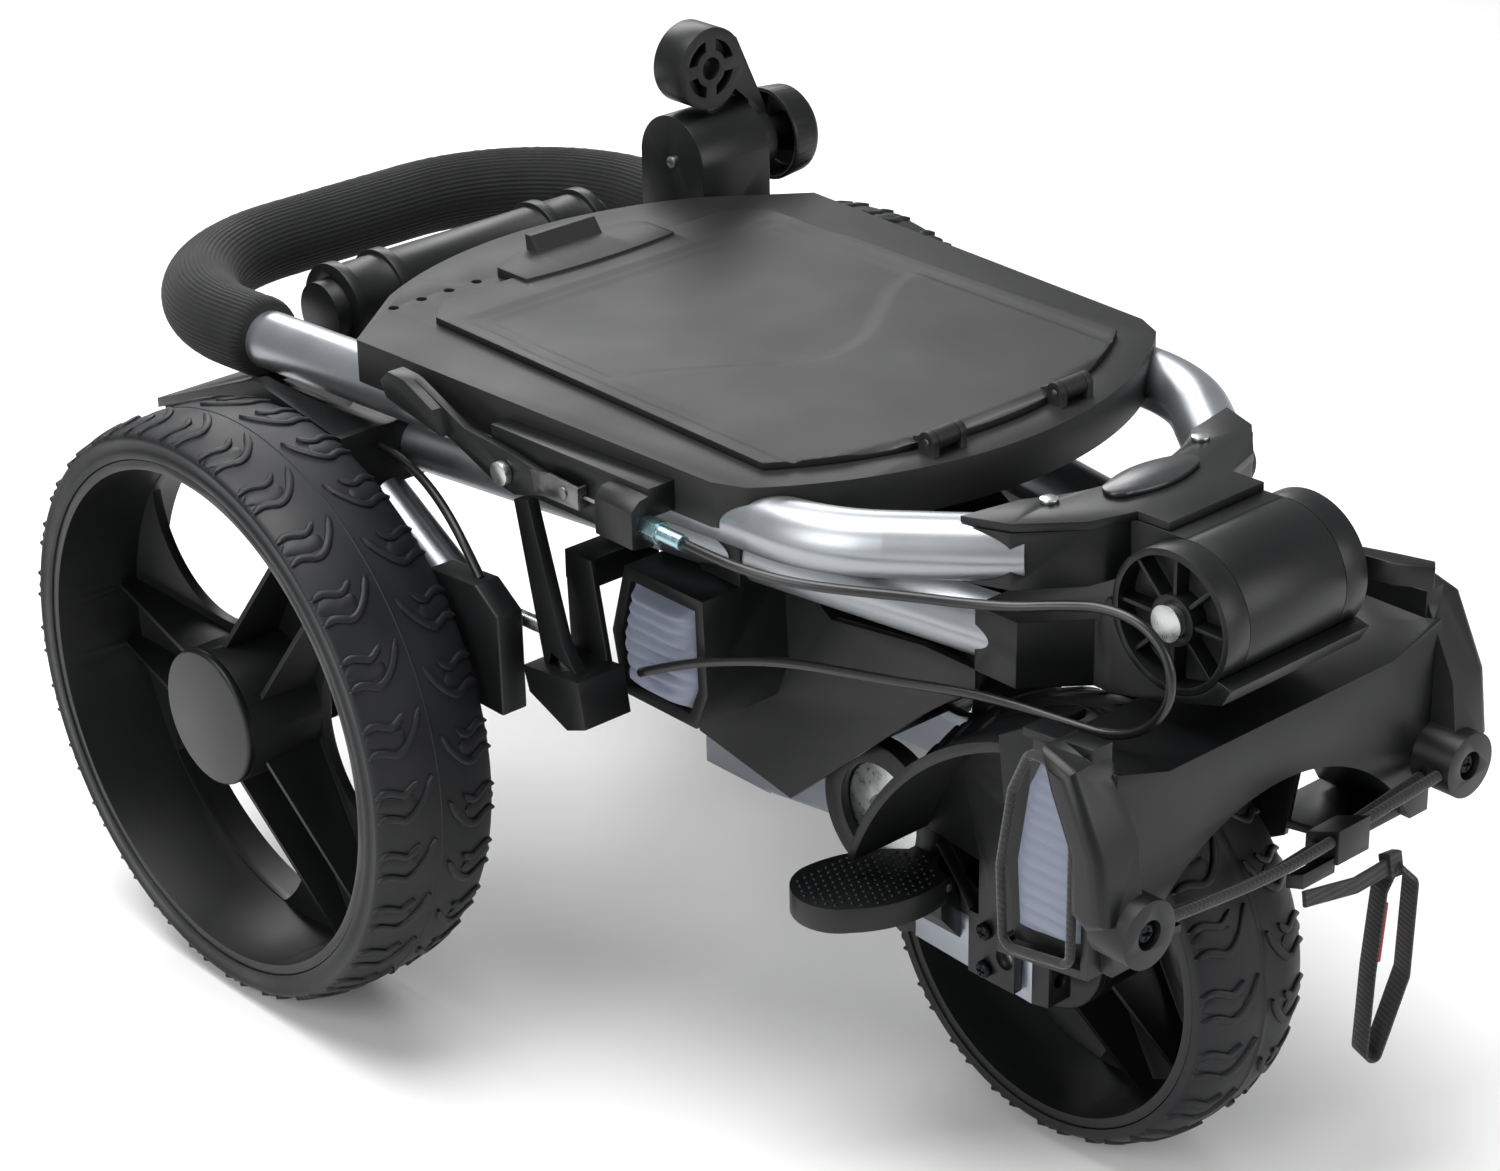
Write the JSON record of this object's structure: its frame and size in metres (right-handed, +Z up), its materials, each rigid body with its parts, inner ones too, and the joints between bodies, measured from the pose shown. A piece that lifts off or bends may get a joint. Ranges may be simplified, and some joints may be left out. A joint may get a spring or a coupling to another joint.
{
  "type": "golf push trolley",
  "caption": "Folding golf push trolley with wheels at rear and front, padded bag cradles, storage console, brake lever and umbrella holder, folded for storage.",
  "frame": {"origin": "on the floor, under the middle of the trolley's bounding box", "axes": "+X the trolley's right, +Y its rear where the grip is, +Z up"},
  "size_m": [0.4496, 0.6832, 0.402],
  "materials": {
    "tyre_rubber": "moulded, satin",
    "black_plastic": "moulded, fine texture",
    "lid_plastic": "moulded, fine texture",
    "badge_plastic": "moulded, satin",
    "nylon": "moulded",
    "grip_foam": "closed-cell foam, ribbed",
    "silver_aluminium": "frosted silver paint on aluminium",
    "bare_aluminium": "satin anodised",
    "steel": "zinc plated",
    "zinc_steel": "blue zinc plated",
    "pad_rubber": "soft moulded rubber",
    "elastic": "braided elastic",
    "pouch_fabric": "coated woven fabric",
    "webbing": "woven strap",
    "cable_sheath": "smooth vinyl sheath"
  },
  "bodies": {
    "chassis": {"frame_tubes": "silver_aluminium", "frame_yoke": "black_plastic", "barrel_ends": "black_plastic", "hinge_bolt": "steel", "rear_bridge": "black_plastic", "rear_barrel": "black_plastic", "legs": "silver_aluminium", "axle_carriers": "black_plastic", "rear_axles": "steel", "brake_boxes": "black_plastic", "brake_rods": "steel", "foot_links": "black_plastic", "upper_bag_bracket": "black_plastic", "upper_bag_pads": "pad_rubber", "beam_stub": "bare_aluminium", "brake_cable_lower": "cable_sheath"},
    "left_wheel": {"left_tyre": "tyre_rubber", "left_rim": "black_plastic", "left_hub_cap": "black_plastic", "left_bush": "nylon"},
    "right_wheel": {"right_tyre": "tyre_rubber", "right_rim": "black_plastic", "right_hub_cap": "black_plastic", "right_bush": "nylon"},
    "front_wheel": {"front_tyre": "tyre_rubber", "front_rim": "black_plastic", "front_hub_cap": "black_plastic", "front_bush": "nylon"},
    "fork": {"fork_legs": "bare_aluminium", "front_axle": "steel", "fork_yokes": "black_plastic", "fork_pins": "steel", "leg_end_caps": "black_plastic", "pedal_mount": "black_plastic", "bag_cradle": "black_plastic", "cradle_pads": "pad_rubber", "pad_loops": "elastic", "fork_screws": "steel", "bungee_cord": "elastic", "cord_lock": "black_plastic", "pull_strap": "webbing"},
    "pedal": {"foot_pedal": "black_plastic"},
    "handle": {"handle_tube": "silver_aluminium", "foam_grip": "grip_foam", "handle_yoke": "black_plastic", "yoke_cover": "black_plastic", "cover_badge": "badge_plastic", "console": "black_plastic", "storage_pouch": "pouch_fabric", "umbrella_base": "black_plastic", "brake_housing": "black_plastic", "cable_adjuster": "zinc_steel", "brake_cable_upper": "cable_sheath", "handle_fasteners": "steel"},
    "lid": {"lid": "lid_plastic"},
    "brake_lever": {"brake_lever": "black_plastic", "brake_clevis": "steel"},
    "umbrella_arm": {"umbrella_arm": "black_plastic"},
    "umbrella_knob": {"umbrella_knob": "black_plastic"},
    "quick_release": {"quick_release_lever": "black_plastic"}
  },
  "joints": [
    {"name": "left_wheel_spin", "type": "hinge", "parent": "chassis", "child": "left_wheel", "pos_m": [-0.1922, 0.1395, 0.145], "axis": [1, 0, 0], "continuous": true},
    {"name": "right_wheel_spin", "type": "hinge", "parent": "chassis", "child": "right_wheel", "pos_m": [0.1922, 0.1395, 0.145], "axis": [1, 0, 0], "continuous": true},
    {"name": "fork_fold", "type": "hinge", "parent": "chassis", "child": "fork", "pos_m": [0, -0.1385, 0.141], "axis": [1, 0, 0], "range_deg": [0, 50]},
    {"name": "front_wheel_spin", "type": "hinge", "parent": "fork", "child": "front_wheel", "pos_m": [0, -0.2208, 0.103], "axis": [1, 0, 0], "continuous": true},
    {"name": "pedal_press", "type": "hinge", "parent": "fork", "child": "pedal", "pos_m": [-0.0575, -0.1758, 0.127], "axis": [0, -1, 0], "range_deg": [0, 12], "stiffness_Nm_per_rad": 0.5, "springref_deg": -17.19},
    {"name": "handle_fold", "type": "hinge", "parent": "chassis", "child": "handle", "pos_m": [0, -0.2979, 0.29], "axis": [1, 0, 0], "range_deg": [0, 130]},
    {"name": "lid_open", "type": "hinge", "parent": "handle", "child": "lid", "pos_m": [0, -0.165, 0.3285], "axis": [1, 0, 0], "range_deg": [0, 100]},
    {"name": "brake_pull", "type": "hinge", "parent": "handle", "child": "brake_lever", "pos_m": [-0.149, -0.0085, 0.297], "axis": [1, 0, 0], "range_deg": [0, 25]},
    {"name": "umbrella_tilt", "type": "hinge", "parent": "handle", "child": "umbrella_arm", "pos_m": [0.151, 0.1695, 0.334], "axis": [1, 0, 0], "range_deg": [-80, 80]},
    {"name": "umbrella_knob_turn", "type": "hinge", "parent": "handle", "child": "umbrella_knob", "pos_m": [0.17, 0.1695, 0.334], "axis": [1, 0, 0], "continuous": true},
    {"name": "quick_release_throw", "type": "hinge", "parent": "chassis", "child": "quick_release", "pos_m": [0.05, -0.2979, 0.29], "axis": [1, 0, 0], "range_deg": [-100, 0]}
  ]
}
